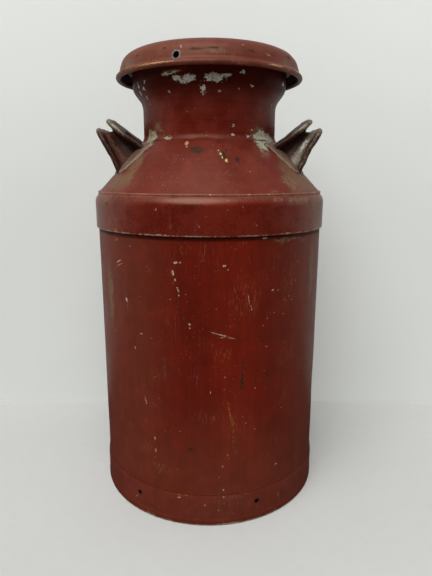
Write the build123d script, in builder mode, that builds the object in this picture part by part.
from build123d import *
import math
import os

# Steel milk can of the 10-gallon (40-quart) size with an umbrella lid.
# Frame: Z up, origin on the floor at the centre of the foot hoop, -Y is the front,
# the two handles stand on +X and -X. All sizes in millimetres.
# Sections are drawn as (r, z) on Plane.XZ and turned round the Z axis.

GAP = 0.05                # clearance between neighbouring pieces

# ---------------------------------------------------------------- body and hoops
BODY_R = 165.0            # outside radius of the body shell (13 in can)
BODY_T = 1.2              # body sheet
BODY_BOTTOM_Z = 36.0      # lower end of the body sheet, inside the foot hoop
BODY_TOP_Z = 437.0        # upper end of the body sheet, inside the breast hoop
BODY_LAP_R = BODY_R + GAP # inside of the hoops, where they lap the body

HOOP_R = 166.9            # foot hoop, outside
HOOP_BEAD_R = 167.5       # wear edge of the foot hoop
HOOP_TOP_Z = 48.0
EDGE_ROUND = 1.2          # rounding of the hoops' outer edges
EDGE_ROUND_MID = 0.35     # inset of the rounding's middle point from the square corner
DRAIN_D = 6.5             # drain holes through the foot hoop
DRAIN_Z = 29.5
DRAIN_COUNT = 6
DRAIN_FIRST_DEG = -36.2   # first hole, turned from the front towards +X

PAN_R = BODY_R - BODY_T - GAP    # bottom plate, outside of its flange
PAN_T = 1.5
PAN_BOTTOM_Z = 14.5              # underside on the axis
PAN_FLANGE_Z = 44.0              # where the upright flange starts
PAN_TOP_Z = 50.0

SEAM_ARC = 2.8            # width of the side seam's solder, in degrees
SEAM_PROUD = 0.5          # its outer face, out from the body

BREAST_HOOP_R = 168.1     # heavy hoop round the upper end of the body
BREAST_HOOP_Z0 = 400.0    # its lower edge
BREAST_HOOP_Z1 = 435.2    # where its shoulder rounding starts
BREAST_HOOP_LAP_T = 1.6   # its turned-in edge under the breast sheet
BREAST_HOOP_LAP_END = -7.0       # end of that edge, measured down the cone from the rim

# ---------------------------------------------------------------- breast cone
CONE_R1, CONE_Z1 = 98.5, 518.1   # a point on the cone's outer face, near the neck
CONE_K = 0.93                    # radius lost per unit of height
CONE_T = 1.2                     # breast sheet
CONE_END_Z = 450.4               # lower rim of the breast sheet

# ---------------------------------------------------------------- neck
NECK_R = 95.3             # neck, outside
NECK_T = 1.5              # neck sheet
NECK_BOTTOM_Z = 506.0
THROAT_TOP_Z = 561.0      # where the straight throat ends
MOUTH_WIRE_R = 2.4        # wire inside the rolled mouth
MOUTH_ROLL_C = (112.4, 614.5)

# ---------------------------------------------------------------- lid
LID_TOP_Z = 635.0
LID_T = 1.0               # lid sheet
LID_BEAD_C = (128.6, 604.0)
LID_BEAD_R = 3.4
LID_WIRE_R = 2.3
RECESS_R = 86.0           # hand recess in the lid's top
RECESS_FLOOR_Z = 599.0    # upper face of the recess floor
LID_HOLE_D = 8.0          # hole through the lid's wall
LID_HOLE_DEG = -17.5      # turned from the front towards +X
LID_HOLE_Z = 613.0
LID_SEAT_Z = LID_TOP_Z - LID_T - GAP     # top of the plug, under the cover

PLUG_T = 1.2
PLUG_R = 92.9             # plug, outside: 0.9 mm loose in the neck
PLUG_RIM_R = 103.0        # its wide upper end, outside
PLUG_BOTTOM_Z = 538.0
PLUG_CORNER = 9.0         # rounding of its lower corner, outside
PLUG_DISH = 2.5           # rise of its bottom towards the axis

GRIP_W = 28.0             # strap across the lid's recess
GRIP_T = 2.5
GRIP_END_X = 76.0
GRIP_CORNER = 9.0         # rounding of the strap's ends
GRIP_BASE_Z = RECESS_FLOOR_Z + GAP
# Strap seen from the front: (x, height above its base), and the radius at each inner point.
GRIP_UNDERSIDE = [
    (-GRIP_END_X, 0.0), (-57.0, 0.0), (-46.0, 22.5), (0.0, 27.5),
    (46.0, 22.5), (57.0, 0.0), (GRIP_END_X, 0.0),
]
GRIP_UNDERSIDE_RADII = (8.5, 6.0, 60.0, 6.0, 8.5)
GRIP_UPPER_SIDE = [
    (GRIP_END_X, GRIP_T), (58.6, GRIP_T), (47.6, 24.9), (0.0, 30.0),
    (-47.6, 24.9), (-58.6, GRIP_T), (-GRIP_END_X, GRIP_T),
]
GRIP_UPPER_RADII = (6.0, 8.5, 62.5, 8.5, 6.0)

RIVET_R = 2.5
RIVET_HEAD_R = 4.6
RIVET_HEAD_H = 2.4
RIVET_TAIL_H = 1.6
RIVET_TAIL_R0, RIVET_TAIL_R1 = 3.4, 4.0  # tail under the floor: lower and upper radius
RIVET_X, RIVET_Y = 66.0, 7.5
RIVETS_AT = [(x, y) for x in (-RIVET_X, RIVET_X) for y in (-RIVET_Y, RIVET_Y)]

# ---------------------------------------------------------------- handles
# Each handle is one pressed channel bent to a bail, open on its outer side, with folded lips,
# leaning outwards from the breast on two flat feet. It is drawn in its own lean:
# u runs up the lean, w across the channel (outwards and down), v along the grip (Y).
LEAN_ORIGIN = (110.0, 498.0)     # in (x, z)
LEAN = math.radians(50.7)        # up from level
UP_LEAN = (math.cos(LEAN), math.sin(LEAN))
ACROSS_LEAN = (math.sin(LEAN), -math.cos(LEAN))

# half widths of the channel: (u, w of the inner side, w of the outer side)
CHANNEL = [
    (-26.0, -30.0, 30.0),
    (0.0, -23.4, 23.4),
    (18.0, -17.4, 19.2),
    (40.0, -12.3, 15.0),
    (60.0, -9.2, 13.8),
]
HANDLE_SHEET = 2.4        # pressed steel of the handles
HANDLE_LIP = 4.8          # thickness of the folded lips along both edges of the channel
HANDLE_TOP_U = 56.0       # height of the channel's edge above the foot, along the lean
HANDLE_FLOOR_U = 43.0     # outside of the channel's floor, the same way
FLOOR_INSET = HANDLE_TOP_U - HANDLE_FLOOR_U

BAIL_TOP_V = 56.5         # half width of the bail at its top
BAIL_END_V, BAIL_END_U = 63.0, -34.0     # its lower end, inside the can
# outlines of the bail: (inset from its outer edge, corner radius)
BAIL_CORNER = 15.0
EDGE_OUTLINE = (0.0, BAIL_CORNER)
LIP_OUTLINE = (HANDLE_LIP, BAIL_CORNER - HANDLE_LIP)
FLOOR_OUTLINE = (FLOOR_INSET, 8.0)
HAND_OUTLINE = (FLOOR_INSET + HANDLE_SHEET, 6.0)

FOOT_T = 2.4              # foot plates of the handles
FOOT_W, FOOT_L = 30.0, 53.0      # along the grip, down the slope
FOOT_CORNER = 7.0
FOOT_Y = 52.5             # centre of each foot, to both sides of the handle's middle
FOOT_X, FOOT_Z = 107.5, 495.0
FEET_AT = [(-FOOT_Y, 0), (FOOT_Y, 0)]
FOOT_SOLDER_T = 1.1
FOOT_SOLDER_W = 1.8       # reach of the solder beyond the foot

# Working sizes that only have to clear the handles
REACH_V = 75.0            # to both sides, along the grip
REACH_W = 50.0            # to both sides, across the lean
REACH_SLOPE = 40.0        # to both sides of the feet
BLANK_ARC = 100.0         # degrees of the cone the feet are cut from
BLANK_R = (88.0, 158.0)   # its radii

# ---------------------------------------------------------------- shared geometry
CONE_NORM = math.hypot(CONE_K, 1.0)
DOWN_CONE = (CONE_K / CONE_NORM, -1.0 / CONE_NORM)   # in (r, z)
OUT_OF_CONE = (1.0 / CONE_NORM, CONE_K / CONE_NORM)  # in (r, z)


def cone_r(z):
    """Radius of the cone's outer face at height z."""
    return CONE_R1 + CONE_K * (CONE_Z1 - z)


def cone_z(r):
    """Height of the cone's outer face at radius r."""
    return CONE_Z1 - (r - CONE_R1) / CONE_K


def from_rim(down, out):
    """Point (r, z) down the cone from its lower rim and out of its face."""
    return (
        cone_r(CONE_END_Z) + down * DOWN_CONE[0] + out * OUT_OF_CONE[0],
        CONE_END_Z + down * DOWN_CONE[1] + out * OUT_OF_CONE[1],
    )


def cone_at(r, out):
    """Point (r, z) that lies out of the cone's face, square above its radius r."""
    return (r + out * OUT_OF_CONE[0], cone_z(r) + out * OUT_OF_CONE[1])


def upright_plane(deg, z=0):
    """Upright plane through (0, 0, z). Local x runs out at azimuth deg from +X;
    the normal faces deg from the front towards +X."""
    a = math.radians(deg)
    return Plane(
        origin=(0, 0, z),
        x_dir=(math.cos(a), math.sin(a), 0),
        z_dir=(math.sin(a), -math.cos(a), 0),
    )


def dish_mid(z0, r1, z1):
    """Half-way point of a shallow spherical dish, level on the axis at z0, that meets (r1, z1)."""
    rise = z1 - z0
    sphere_r = (r1 * r1 + rise * rise) / (2 * rise)
    drop = math.copysign(math.sqrt(sphere_r * sphere_r - r1 * r1 / 4), sphere_r)
    return (r1 / 2, z0 + sphere_r - drop)


def turned(points):
    """Solid of revolution from a closed section with straight sides."""
    with BuildPart() as solid:
        with BuildSketch(Plane.XZ):
            with BuildLine():
                Polyline(*points, points[0])
            make_face()
        revolve(axis=Axis.Z)
    return solid.part


def wire_ring(centre, radius):
    """Round wire bent to a ring; centre is the wire's middle in (r, z)."""
    with BuildPart() as ring:
        with BuildSketch(Plane.XZ):
            with Locations(centre):
                Circle(radius)
        revolve(axis=Axis.Z)
    return ring.part


def save(name, part):
    part.label = name
    export_step(part, f"parts/{name}.step")


# ---------------------------------------------------------------- body pieces
def foot_hoop():
    """Heavy rolled band round the lower end, with a thick wear edge and drain holes."""
    with BuildPart() as hoop:
        with BuildSketch(Plane.XZ):
            with BuildLine():
                Polyline((163.9, 0.0), (166.0, 0.0))
                ThreePointArc((166.0, 0.0), (167.06, 0.5), (HOOP_BEAD_R, 1.7))
                Polyline(
                    (HOOP_BEAD_R, 1.7),
                    (HOOP_BEAD_R, 6.5),
                    (HOOP_R, 10.5),
                    (HOOP_R, HOOP_TOP_Z - EDGE_ROUND),
                )
                ThreePointArc(
                    (HOOP_R, HOOP_TOP_Z - EDGE_ROUND),
                    (HOOP_R - EDGE_ROUND_MID, HOOP_TOP_Z - EDGE_ROUND_MID),
                    (HOOP_R - EDGE_ROUND, HOOP_TOP_Z),
                )
                Polyline(
                    (HOOP_R - EDGE_ROUND, HOOP_TOP_Z),
                    (BODY_LAP_R, HOOP_TOP_Z),
                    (BODY_LAP_R, 11.0),
                    (163.2, 8.5),
                    (163.2, 0.7),
                    (163.9, 0.0),
                )
            make_face()
        revolve(axis=Axis.Z)
        for i in range(DRAIN_COUNT):
            deg = DRAIN_FIRST_DEG + 360.0 / DRAIN_COUNT * i
            with BuildSketch(upright_plane(deg, DRAIN_Z).offset(150)):
                Circle(DRAIN_D / 2)
            extrude(amount=30, mode=Mode.SUBTRACT)
    return hoop.part


def bottom_plate():
    """Pressed pan: an upright flange inside the body, a generous corner and a shallow dish."""
    inside_r = PAN_R - PAN_T
    centre_z = PAN_BOTTOM_Z + PAN_T          # upper face on the axis
    under_edge = (PAN_R - 23.0, 20.4)        # where the dish meets the corner
    upper_edge = (PAN_R - 23.1, 21.9)
    with BuildPart() as pan:
        with BuildSketch(Plane.XZ):
            with BuildLine():
                Polyline((0.0, centre_z), (0.0, PAN_BOTTOM_Z))
                ThreePointArc((0.0, PAN_BOTTOM_Z), dish_mid(PAN_BOTTOM_Z, *under_edge), under_edge)
                ThreePointArc(under_edge, (PAN_R - 6.8, 27.4), (PAN_R, PAN_FLANGE_Z))
                Polyline(
                    (PAN_R, PAN_FLANGE_Z),
                    (PAN_R, PAN_TOP_Z),
                    (inside_r, PAN_TOP_Z),
                    (inside_r, PAN_FLANGE_Z),
                )
                ThreePointArc((inside_r, PAN_FLANGE_Z), (PAN_R - 7.9, 28.4), upper_edge)
                ThreePointArc(upper_edge, dish_mid(centre_z, *upper_edge), (0.0, centre_z))
            make_face()
        revolve(axis=Axis.Z)
    return pan.part


def bottom_seam_solder():
    """Solder fillet on top of the pan's flange, inside the body."""
    return turned([
        (PAN_R - PAN_T + GAP, PAN_TOP_Z + GAP),
        (PAN_R, PAN_TOP_Z + GAP),
        (PAN_R, PAN_TOP_Z + 4.5),
        (PAN_R - 0.3, PAN_TOP_Z + 2.9),
        (PAN_R - 0.6, PAN_TOP_Z + 1.8),
        (PAN_R - 1.0, PAN_TOP_Z + 0.8),
    ])


def body_shell():
    return turned([
        (BODY_R - BODY_T, BODY_BOTTOM_Z),
        (BODY_R, BODY_BOTTOM_Z),
        (BODY_R, BODY_TOP_Z),
        (BODY_R - BODY_T, BODY_TOP_Z),
    ])


def side_seam_solder():
    """Narrow flat strip of solder up the back of the body, between the hoops."""
    with BuildPart() as strip:
        with BuildSketch(upright_plane(90.0 - SEAM_ARC / 2)):
            with BuildLine():
                Polyline(
                    (BODY_LAP_R, HOOP_TOP_Z + 0.1),
                    (BODY_R + SEAM_PROUD, HOOP_TOP_Z + 0.5),
                    (BODY_R + SEAM_PROUD, BREAST_HOOP_Z0 - 0.5),
                    (BODY_LAP_R, BREAST_HOOP_Z0 - 0.1),
                    (BODY_LAP_R, HOOP_TOP_Z + 0.1),
                )
            make_face()
        revolve(axis=Axis((0, 0, 0), (0, 0, -1)), revolution_arc=-SEAM_ARC)
    return strip.part


def breast_hoop():
    """Heavy hoop round the top of the body; its upper edge turns in under the breast sheet."""
    lap_face = -CONE_T - GAP
    lap_back = lap_face - BREAST_HOOP_LAP_T
    outer_arc_end = from_rim(4.75, lap_face)
    inner_arc_start = from_rim(4.2, lap_back)
    body_end = (BODY_LAP_R, BODY_TOP_Z + 0.6)
    with BuildPart() as hoop:
        with BuildSketch(Plane.XZ):
            with BuildLine():
                Polyline(
                    (BODY_LAP_R, BREAST_HOOP_Z0),
                    (BREAST_HOOP_R - EDGE_ROUND, BREAST_HOOP_Z0),
                )
                ThreePointArc(
                    (BREAST_HOOP_R - EDGE_ROUND, BREAST_HOOP_Z0),
                    (BREAST_HOOP_R - EDGE_ROUND_MID, BREAST_HOOP_Z0 + EDGE_ROUND_MID),
                    (BREAST_HOOP_R, BREAST_HOOP_Z0 + EDGE_ROUND),
                )
                Polyline(
                    (BREAST_HOOP_R, BREAST_HOOP_Z0 + EDGE_ROUND),
                    (BREAST_HOOP_R, BREAST_HOOP_Z1),
                )
                ThreePointArc((BREAST_HOOP_R, BREAST_HOOP_Z1), (167.0, 441.0), outer_arc_end)
                Polyline(
                    outer_arc_end,
                    from_rim(BREAST_HOOP_LAP_END, lap_face),
                    from_rim(BREAST_HOOP_LAP_END, lap_back),
                    inner_arc_start,
                )
                ThreePointArc(inner_arc_start, (164.4, 441.6), body_end)
                Polyline(body_end, (BODY_LAP_R, BREAST_HOOP_Z0))
            make_face()
        revolve(axis=Axis.Z)
    return hoop.part


def breast_cone():
    inside_r = NECK_R + GAP
    return turned([
        from_rim(0, 0),
        (inside_r, cone_z(inside_r)),
        (inside_r, cone_z(inside_r) - CONE_T * CONE_NORM / CONE_K),
        from_rim(0, -CONE_T),
    ])


def breast_seam_solder():
    """Solder bead that stands slightly proud along the lower rim of the breast sheet."""
    rim_top = from_rim(0.05, 0.99)
    hoop_side = from_rim(2.24, -CONE_T)
    with BuildPart() as bead:
        with BuildSketch(Plane.XZ):
            with BuildLine():
                ThreePointArc(rim_top, from_rim(2.3, 1.04), hoop_side)
                Polyline(hoop_side, from_rim(0.05, -CONE_T), rim_top)
            make_face()
        revolve(axis=Axis.Z)
    return bead.part


# ---------------------------------------------------------------- neck pieces
def neck():
    """Straight throat that opens into a bowl mouth, its edge rolled outwards over a wire."""
    inside_r = NECK_R - NECK_T
    with BuildPart() as throat:
        with BuildSketch(Plane.XZ):
            with BuildLine():
                # outer face upwards
                Polyline((NECK_R, NECK_BOTTOM_Z), (NECK_R, THROAT_TOP_Z))
                ThreePointArc((NECK_R, THROAT_TOP_Z), (96.1, 567.4), (98.3, 573.6))
                Polyline((98.3, 573.6), (105.6, 583.4))
                ThreePointArc((105.6, 583.4), (108.2, 588.0), (109.3, 594.0))
                # into the roll, then down the inner face
                Polyline((109.3, 594.0), (109.9, 612.0), (108.6, 614.6), (107.9, 594.2))
                ThreePointArc((107.9, 594.2), (106.9, 588.7), (104.4, 584.3))
                Polyline((104.4, 584.3), (97.1, 574.5))
                ThreePointArc((97.1, 574.5), (94.6, 567.8), (inside_r, THROAT_TOP_Z))
                Polyline(
                    (inside_r, THROAT_TOP_Z), (inside_r, NECK_BOTTOM_Z), (NECK_R, NECK_BOTTOM_Z)
                )
            make_face()
            with Locations(MOUTH_ROLL_C):
                Circle(MOUTH_WIRE_R + NECK_T)
                Circle(MOUTH_WIRE_R + GAP, mode=Mode.SUBTRACT)
        revolve(axis=Axis.Z)
    return throat.part


def neck_solder():
    """Solder fillet where the neck leaves the breast."""
    inside_r = NECK_R + GAP
    return turned([
        (inside_r, 525.0),
        (inside_r, cone_z(inside_r) + 0.08),
        cone_at(97.9, 0.05),
        (97.05, 520.2),
        (96.35, 521.7),
        (95.8, 523.2),
    ])


# ---------------------------------------------------------------- handle pieces
# side is 1 for the handle on +X and -1 for the one on -X.
def lean_point(u, w, side):
    """Point of the lean frame in (x, z)."""
    return (
        side * (LEAN_ORIGIN[0] + u * UP_LEAN[0] + w * ACROSS_LEAN[0]),
        LEAN_ORIGIN[1] + u * UP_LEAN[1] + w * ACROSS_LEAN[1],
    )


def lean_plane(side):
    """Plane through the handle's foot line: local x is along the grip, local y up the lean."""
    return Plane(
        origin=(side * LEAN_ORIGIN[0], 0, LEAN_ORIGIN[1]),
        x_dir=(0, side, 0),
        z_dir=(side * UP_LEAN[1], 0, -UP_LEAN[0]),
    )


def slope_plane(side):
    """Plane along the cone's slope at the feet: local x is along the grip."""
    return Plane(
        origin=(side * FOOT_X, 0, FOOT_Z),
        x_dir=(0, side, 0),
        z_dir=(side * OUT_OF_CONE[0], 0, OUT_OF_CONE[1]),
    )


def wedge_outline(side, inset):
    """Closed outline of the channel seen along the grip, inset from both sides."""
    inner = [lean_point(u, w_in + inset, side) for u, w_in, _ in CHANNEL]
    outer = [lean_point(u, w_out - inset, side) for u, _, w_out in CHANNEL]
    return [*inner, *reversed(outer), inner[0]]


def bail_points(inset):
    """Corners (v, u) of the bail, inset from its outer edge, down past the feet."""
    end_v, top_v, top_u = BAIL_END_V - inset, BAIL_TOP_V - inset, HANDLE_TOP_U - inset
    return [(-end_v, BAIL_END_U), (-top_v, top_u), (top_v, top_u), (end_v, BAIL_END_U)]


def bail_solid(side, side_inset, outer, inner):
    """Wedge seen along the grip, cut to the band between two outlines of the bail.
    Without an outer outline the band runs out past the channel's edge."""
    with BuildPart() as band:
        with BuildSketch(Plane.XZ):
            with BuildLine():
                Polyline(*wedge_outline(side, side_inset))
            make_face()
        extrude(amount=REACH_V, both=True)
        with BuildSketch(lean_plane(side)):
            if outer is None:
                Rectangle(2 * REACH_V, 140)
            for outline, mode in ((outer, Mode.ADD), (inner, Mode.SUBTRACT)):
                if outline is None:
                    continue
                inset, radius = outline
                points = bail_points(inset)
                with BuildLine() as bail_line:
                    FilletPolyline(*points, radius=radius)
                    Line(points[-1], points[0])
                make_face(bail_line.edges(), mode=mode)
        extrude(amount=REACH_W, both=True, mode=Mode.INTERSECT)
    return band.part


def foot_pads(side, thickness, margin):
    """Two pads that follow the cone, larger than the feet by the margin all round."""
    with BuildPart() as pads:
        middle_deg = 0.0 if side > 0 else 180.0
        with BuildSketch(upright_plane(middle_deg - BLANK_ARC / 2)):
            with BuildLine():
                Polyline(
                    cone_at(BLANK_R[0], GAP),
                    cone_at(BLANK_R[1], GAP),
                    cone_at(BLANK_R[1], thickness),
                    cone_at(BLANK_R[0], thickness),
                    cone_at(BLANK_R[0], GAP),
                )
            make_face()
        revolve(axis=Axis.Z, revolution_arc=BLANK_ARC)
        with BuildSketch(slope_plane(side)):
            with Locations(*FEET_AT):
                RectangleRounded(FOOT_W + 2 * margin, FOOT_L + 2 * margin, FOOT_CORNER + margin)
        extrude(amount=REACH_SLOPE, both=True, mode=Mode.INTERSECT)
    return pads.part


def handle(side):
    """Bail and its two foot plates."""
    # the narrower mouth between the lips, and the hollow between the flanges
    mouth = bail_solid(side, HANDLE_LIP, None, FLOOR_OUTLINE)
    hollow = bail_solid(side, HANDLE_SHEET, LIP_OUTLINE, FLOOR_OUTLINE)
    bail = bail_solid(side, 0.0, EDGE_OUTLINE, HAND_OUTLINE)
    feet = foot_pads(side, FOOT_T, 0.0)
    bottom_z, top_z = 440.0, 522.0       # heights that enclose what is cut off inside the cone
    with BuildPart() as whole:
        add(bail)
        add(mouth, mode=Mode.SUBTRACT)
        add(hollow, mode=Mode.SUBTRACT)
        add(feet)
        # everything ends on the cone's face
        with BuildSketch(Plane.XZ):
            with BuildLine():
                Polyline(
                    (20.0, bottom_z),
                    cone_at(cone_r(bottom_z), GAP),
                    cone_at(cone_r(top_z), GAP),
                    (20.0, top_z),
                    (20.0, bottom_z),
                )
            make_face()
        revolve(axis=Axis.Z, mode=Mode.SUBTRACT)
    return whole.part


def handle_solder(side, handle_part):
    """Solder run round each foot plate."""
    pads = foot_pads(side, FOOT_SOLDER_T, FOOT_SOLDER_W)
    with BuildPart() as solder:
        add(pads)
        with BuildSketch(slope_plane(side)):
            with Locations(*FEET_AT):
                RectangleRounded(FOOT_W + 2 * GAP, FOOT_L + 2 * GAP, FOOT_CORNER + GAP)
        extrude(amount=REACH_SLOPE, both=True, mode=Mode.SUBTRACT)
        # stay clear of the lips that run out on the feet
        add(handle_part, mode=Mode.SUBTRACT)
    return solder.part


# ---------------------------------------------------------------- lid pieces
def lid_cover():
    """Umbrella pressing: wired rim, steep wall, rounded shoulder, flat ring and hand recess."""
    top, under = LID_TOP_Z, LID_TOP_Z - LID_T
    floor, floor_under = RECESS_FLOOR_Z, RECESS_FLOOR_Z - LID_T
    wall = RECESS_R
    with BuildPart() as cover:
        with BuildSketch(Plane.XZ):
            with BuildLine():
                # outer face, from the rim up and into the recess
                ThreePointArc((129.6, 607.0), (127.6, 609.6), (126.6, 613.4))
                Polyline((126.6, 613.4), (124.9, 619.0))
                ThreePointArc((124.9, 619.0), (120.6, 627.3), (112.5, 633.0))
                ThreePointArc((112.5, 633.0), (109.2, 634.5), (105.5, top))
                Polyline((105.5, top), (wall + 6.0, top))
                ThreePointArc((wall + 6.0, top), (wall + 1.76, top - 1.76), (wall, top - 6.0))
                Polyline((wall, top - 6.0), (wall - 1.0, floor + 5.0))
                ThreePointArc(
                    (wall - 1.0, floor + 5.0), (wall - 2.46, floor + 1.46), (wall - 6.0, floor)
                )
                Polyline(
                    (wall - 6.0, floor), (0.0, floor), (0.0, floor_under), (wall - 6.0, floor_under)
                )
                # inner face back out to the rim
                ThreePointArc(
                    (wall - 6.0, floor_under), (wall - 1.76, floor + 0.76), (wall, floor + 5.0)
                )
                Polyline((wall, floor + 5.0), (wall + 1.0, top - 6.0))
                ThreePointArc(
                    (wall + 1.0, top - 6.0), (wall + 2.46, top - 2.46), (wall + 6.0, under)
                )
                Polyline((wall + 6.0, under), (105.4, under))
                ThreePointArc((105.4, under), (108.8, 633.55), (112.0, 632.1))
                ThreePointArc((112.0, 632.1), (119.8, 626.6), (123.95, 618.7))
                Polyline((123.95, 618.7), (125.6, 613.2))
                ThreePointArc((125.6, 613.2), (126.5, 609.3), (127.6, 606.6))
                Line((127.6, 606.6), (129.6, 607.0))
            make_face()
            with Locations(LID_BEAD_C):
                Circle(LID_BEAD_R)
                Circle(LID_WIRE_R + GAP, mode=Mode.SUBTRACT)
        revolve(axis=Axis.Z)
        # hole through the wall
        with BuildSketch(upright_plane(LID_HOLE_DEG, LID_HOLE_Z).offset(118)):
            Circle(LID_HOLE_D / 2)
        extrude(amount=20, mode=Mode.SUBTRACT)
        # rivet holes in the recess floor
        with BuildSketch(Plane.XY.offset(RECESS_FLOOR_Z - 3)):
            with Locations(*RIVETS_AT):
                Circle(RIVET_R + GAP)
        extrude(amount=6, mode=Mode.SUBTRACT)
    return cover.part


def lid_plug():
    """Cup under the cover; it slopes out in the bowl of the neck and its lower part
    fills the throat."""
    bottom, floor = PLUG_BOTTOM_Z, PLUG_BOTTOM_Z + PLUG_T
    outside, inside = PLUG_R, PLUG_R - PLUG_T
    dish_r = PLUG_R - PLUG_CORNER
    corner_z = PLUG_BOTTOM_Z + PLUG_CORNER
    rim_inside = PLUG_RIM_R - PLUG_T
    with BuildPart() as plug:
        with BuildSketch(Plane.XZ):
            with BuildLine():
                # outer face upwards
                Polyline((0.0, floor + PLUG_DISH), (0.0, bottom + PLUG_DISH))
                ThreePointArc(
                    (0.0, bottom + PLUG_DISH),
                    dish_mid(bottom + PLUG_DISH, dish_r, bottom),
                    (dish_r, bottom),
                )
                ThreePointArc(
                    (dish_r, bottom), (outside - 2.636, bottom + 2.636), (outside, corner_z)
                )
                Polyline(
                    (outside, corner_z),
                    (outside, 569.2),
                    (102.4, 582.0),
                    (PLUG_RIM_R, 585.6),
                    (PLUG_RIM_R, LID_SEAT_Z),
                    # inner face downwards
                    (rim_inside, LID_SEAT_Z),
                    (rim_inside, 586.0),
                    (100.95, 582.1),
                    (inside, 569.7),
                    (inside, corner_z),
                )
                ThreePointArc(
                    (inside, corner_z), (outside - 3.485, bottom + 3.485), (dish_r, floor)
                )
                ThreePointArc(
                    (dish_r, floor),
                    dish_mid(floor + PLUG_DISH, dish_r, floor),
                    (0.0, floor + PLUG_DISH),
                )
            make_face()
        revolve(axis=Axis.Z)
    return plug.part


def lid_plug_solder():
    """Solder fillet between the plug's wall and the underside of the cover."""
    return turned([
        (105.2, LID_SEAT_Z),
        (PLUG_RIM_R + GAP, LID_SEAT_Z),
        (PLUG_RIM_R + GAP, LID_SEAT_Z - 3.0),
        (103.35, LID_SEAT_Z - 2.05),
        (103.8, LID_SEAT_Z - 1.3),
        (104.45, LID_SEAT_Z - 0.6),
    ])


def lid_grip():
    """Bent strap that stands in the recess as a hand grip."""
    underside = [(x, GRIP_BASE_Z + z) for x, z in GRIP_UNDERSIDE]
    upper_side = [(x, GRIP_BASE_Z + z) for x, z in GRIP_UPPER_SIDE]
    with BuildPart() as grip:
        with BuildSketch(Plane.XZ):
            with BuildLine():
                FilletPolyline(*underside, radius=GRIP_UNDERSIDE_RADII)
                Line(underside[-1], upper_side[0])
                FilletPolyline(*upper_side, radius=GRIP_UPPER_RADII)
                Line(upper_side[-1], underside[0])
            make_face()
        extrude(amount=GRIP_W / 2, both=True)
        # rounded strap ends, inside the round recess
        with BuildSketch(Plane.XY.offset(RECESS_FLOOR_Z)):
            RectangleRounded(2 * GRIP_END_X, GRIP_W, GRIP_CORNER)
        extrude(amount=40, mode=Mode.INTERSECT)
        with BuildSketch(Plane.XY.offset(RECESS_FLOOR_Z - 3)):
            with Locations(*RIVETS_AT):
                Circle(RIVET_R + GAP)
        extrude(amount=8, mode=Mode.SUBTRACT)
    return grip.part


def lid_grip_rivets():
    """Four rivets: domed heads on the strap, low tails under the recess floor."""
    head_z = GRIP_BASE_Z + GRIP_T + GAP
    tail_z = RECESS_FLOOR_Z - LID_T - GAP
    dome_z = head_z + RIVET_HEAD_H
    end_z = tail_z - RIVET_TAIL_H
    with BuildPart() as rivets:
        for x, y in RIVETS_AT:
            with BuildSketch(Plane(origin=(x, y, 0), x_dir=(1, 0, 0), z_dir=(0, -1, 0))):
                with BuildLine():
                    Polyline(
                        (0, end_z),
                        (RIVET_TAIL_R0, end_z),
                        (RIVET_TAIL_R1, tail_z),
                        (RIVET_R, tail_z),
                        (RIVET_R, head_z),
                        (RIVET_HEAD_R, head_z),
                    )
                    ThreePointArc(
                        (RIVET_HEAD_R, head_z),
                        dish_mid(dome_z, RIVET_HEAD_R, head_z),
                        (0, dome_z),
                    )
                    Line((0, dome_z), (0, end_z))
                make_face()
            revolve(axis=Axis((x, y, 0), (0, 0, 1)))
    return rivets.part


# ---------------------------------------------------------------- build and write
os.makedirs("parts", exist_ok=True)

save("foot_hoop", foot_hoop())
save("bottom_plate", bottom_plate())
save("bottom_seam_solder", bottom_seam_solder())
save("body_shell", body_shell())
save("side_seam_solder", side_seam_solder())
save("breast_hoop", breast_hoop())
save("breast_cone", breast_cone())
save("breast_seam_solder", breast_seam_solder())
save("neck", neck())
save("neck_rim_wire", wire_ring(MOUTH_ROLL_C, MOUTH_WIRE_R))
save("neck_solder", neck_solder())
for side, name in ((1, "handle_right"), (-1, "handle_left")):
    handle_part = handle(side)
    save(name, handle_part)
    save(f"{name}_solder", handle_solder(side, handle_part))
save("lid_cover", lid_cover())
save("lid_rim_wire", wire_ring(LID_BEAD_C, LID_WIRE_R))
save("lid_plug", lid_plug())
save("lid_plug_solder", lid_plug_solder())
save("lid_grip", lid_grip())
save("lid_grip_rivets", lid_grip_rivets())
